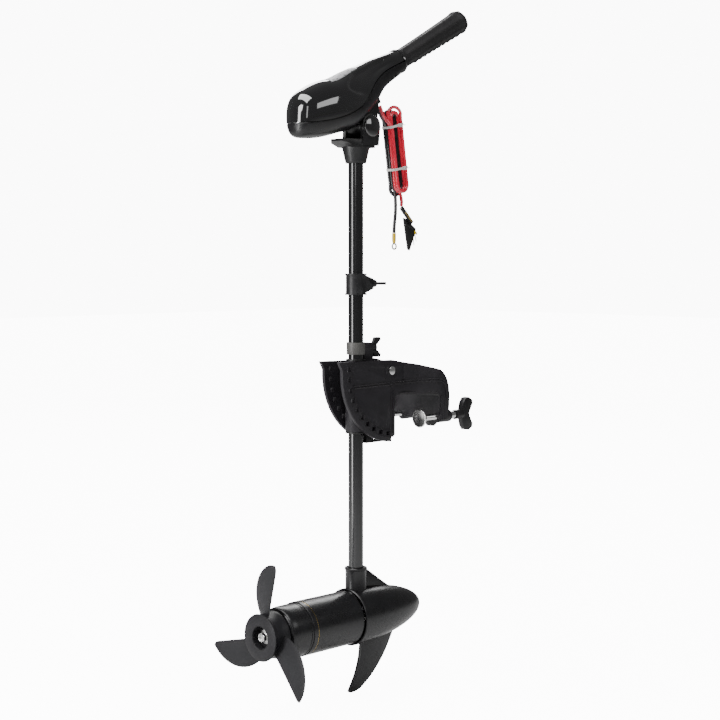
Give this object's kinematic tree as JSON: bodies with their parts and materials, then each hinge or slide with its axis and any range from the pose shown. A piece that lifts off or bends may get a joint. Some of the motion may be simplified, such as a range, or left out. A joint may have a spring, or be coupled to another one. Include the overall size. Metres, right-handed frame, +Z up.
{
  "type": "transom-mount electric trolling motor",
  "caption": "Hand-steered electric trolling motor: clamp bracket with notched quadrant, long shaft, pod motor with skeg and propeller, control head with telescoping tiller, hanging leads.",
  "frame": {"origin": "middle of the clamp's flat face, where it bears on the aft side of the transom", "axes": "+X forward into the boat and the way the flat face looks, +Z up along the shaft, +Y to port; the propeller is at -X"},
  "size_m": [0.4904, 0.2192, 1.1863],
  "materials": {
    "bracket_moulding": "dark grey satin moulding, fine grain",
    "black_plastic": "black satin moulding",
    "gloss_shell": "high gloss black moulding",
    "pale_collar": "pale grey satin",
    "composite_tube": "black gloss composite tube",
    "painted_casting": "black semi-gloss paint over cast aluminium",
    "painted_steel": "black semi-gloss paint over steel",
    "chrome": "polished plating",
    "steel": "bare steel",
    "bush_plastic": "smooth bearing plastic",
    "grip_rubber": "matte soft-touch, moulded finger ridges",
    "lead_jacket_black": "soft vinyl insulation",
    "lead_jacket_red": "soft vinyl insulation",
    "terminal_sleeve": "yellow vinyl-covered metal terminal",
    "tie_nylon": "white nylon",
    "label": "silver-grey printed panel",
    "core_stack": "lacquered laminations and windings",
    "copper_bars": "turned copper bars",
    "ferrite": "sintered magnet"
  },
  "bodies": {
    "bracket": {"bracket_cheek_port": "bracket_moulding", "bracket_cheek_starboard": "bracket_moulding", "clamp_saddle": "bracket_moulding", "tilt_pin": "steel"},
    "clamp_port_pad_body": {"clamp_port_pad": "chrome"},
    "clamp_port_screw_body": {"clamp_port_screw": "chrome", "clamp_port_handle": "black_plastic"},
    "clamp_starboard_pad_body": {"clamp_starboard_pad": "chrome"},
    "clamp_starboard_screw_body": {"clamp_starboard_screw": "chrome", "clamp_starboard_handle": "black_plastic"},
    "arm": {"tilt_arm": "bracket_moulding", "tension_collar": "pale_collar"},
    "tension_knob": {"tension_wing_screw": "black_plastic"},
    "lever": {"lock_lever": "black_plastic"},
    "port_pin": {"lock_pin_port": "steel"},
    "starboard_pin": {"lock_pin_starboard": "steel"},
    "swivel": {"swivel_bush_upper": "bush_plastic", "swivel_bush_lower": "bush_plastic"},
    "shaft": {"shaft_tube": "composite_tube", "inner_twin_lead": "lead_jacket_black", "nose_housing": "painted_casting", "motor_can": "painted_steel", "end_bell": "painted_casting", "through_bolt_1": "steel", "through_bolt_2": "steel", "magnet_upper": "ferrite", "magnet_lower": "ferrite", "bearing_front": "steel", "bearing_rear": "steel", "brush_holder": "black_plastic", "head_yoke": "black_plastic", "head_pivot_bolt": "steel", "pivot_cap_port": "black_plastic", "pivot_cap_starboard": "black_plastic"},
    "depth_stop": {"depth_collar": "black_plastic"},
    "depth_knob": {"depth_wing_screw": "black_plastic"},
    "rotor": {"motor_shaft": "steel", "armature": "core_stack", "commutator": "copper_bars", "propeller": "black_plastic", "drive_pin": "steel", "prop_nut": "chrome"},
    "head": {"head_lower_shell": "black_plastic", "head_upper_shell": "gloss_shell", "meter_panel": "label", "cable_gland": "bush_plastic", "speed_switch": "black_plastic"},
    "tiller": {"tiller_tube": "painted_steel"},
    "grip": {"twist_grip": "grip_rubber", "grip_end_cap": "black_plastic"},
    "lead": {"cable_hank": "lead_jacket_red", "tie_upper": "tie_nylon", "tie_lower": "tie_nylon", "lead_drop_red": "lead_jacket_red", "lead_drop_black": "lead_jacket_black", "black_tail": "lead_jacket_black", "red_tail": "lead_jacket_red", "black_ring_terminal": "terminal_sleeve", "fuse_sleeve": "black_plastic", "terminal_boot": "bush_plastic"}
  },
  "joints": [
    {"name": "clamp_port_travel", "type": "slide", "parent": "bracket", "child": "clamp_port_pad_body", "axis": [1, 0, 0], "range_m": [-0.002, 0.028]},
    {"name": "clamp_port_turn", "type": "hinge", "parent": "clamp_port_pad_body", "child": "clamp_port_screw_body", "pos_m": [0.1, 0.042, -0.006], "axis": [1, 0, 0], "range_deg": [-360, 5040]},
    {"name": "clamp_starboard_travel", "type": "slide", "parent": "bracket", "child": "clamp_starboard_pad_body", "axis": [1, 0, 0], "range_m": [-0.002, 0.028]},
    {"name": "clamp_starboard_turn", "type": "hinge", "parent": "clamp_starboard_pad_body", "child": "clamp_starboard_screw_body", "pos_m": [0.1, -0.042, -0.006], "axis": [1, 0, 0], "range_deg": [-360, 5040]},
    {"name": "tilt", "type": "hinge", "parent": "bracket", "child": "arm", "pos_m": [-0.008, 0, 0.079], "axis": [0, 1, 0], "range_deg": [0, 86.85]},
    {"name": "tension_knob_turn", "type": "hinge", "parent": "arm", "child": "tension_knob", "pos_m": [-0.035, 0, 0.1195], "axis": [1, 0, 0], "range_deg": [0, 720]},
    {"name": "lock_lever_press", "type": "hinge", "parent": "arm", "child": "lever", "pos_m": [-0.05, 0, -0.03], "axis": [0, 1, 0], "range_deg": [-6, 0]},
    {"name": "lock_pin_port_travel", "type": "slide", "parent": "arm", "child": "port_pin", "axis": [0, 1, 0], "range_m": [0, 0.0034]},
    {"name": "lock_pin_starboard_travel", "type": "slide", "parent": "arm", "child": "starboard_pin", "axis": [0, -1, 0], "range_m": [0, 0.0034]},
    {"name": "steering", "type": "hinge", "parent": "arm", "child": "swivel", "pos_m": [-0.074, 0, 0.04], "axis": [0, 0, 1], "continuous": true},
    {"name": "depth", "type": "slide", "parent": "swivel", "child": "shaft", "axis": [0, 0, 1], "range_m": [-0.07, 0.2]},
    {"name": "depth_stop_travel", "type": "slide", "parent": "shaft", "child": "depth_stop", "axis": [0, 0, 1], "range_m": [0, 0.18]},
    {"name": "depth_knob_turn", "type": "hinge", "parent": "depth_stop", "child": "depth_knob", "pos_m": [-0.035, 0, 0.229], "axis": [1, 0, 0], "range_deg": [0, 720]},
    {"name": "propeller_spin", "type": "hinge", "parent": "shaft", "child": "rotor", "pos_m": [-0.2, 0, -0.338], "axis": [1, 0, 0], "continuous": true},
    {"name": "head_tilt", "type": "hinge", "parent": "shaft", "child": "head", "pos_m": [-0.061, 0, 0.494], "axis": [0, 1, 0], "range_deg": [0, 60]},
    {"name": "tiller_extend", "type": "slide", "parent": "head", "child": "tiller", "axis": [0.8813, 0, 0.4726], "range_m": [0, 0.08]},
    {"name": "speed_twist", "type": "hinge", "parent": "tiller", "child": "grip", "pos_m": [0.0274, 0, 0.6123], "axis": [0.8813, 0, 0.4726], "range_deg": [-75, 125]},
    {"name": "lead_swing", "type": "hinge", "parent": "head", "child": "lead", "pos_m": [-0.0196, 0, 0.5325], "axis": [0, 1, 0], "range_deg": [-60, 0]}
  ],
  "couplings": [
    {"joint": "clamp_port_turn", "follows": "clamp_port_travel", "rad_per_m": 3141.6},
    {"joint": "clamp_starboard_turn", "follows": "clamp_starboard_travel", "rad_per_m": 3141.6},
    {"joint": "lock_pin_port_travel", "follows": "lock_lever_press", "m_per_rad": -0.0324},
    {"joint": "lock_pin_starboard_travel", "follows": "lock_lever_press", "m_per_rad": -0.0324},
    {"joint": "lead_swing", "follows": "head_tilt", "ratio": -1}
  ]
}
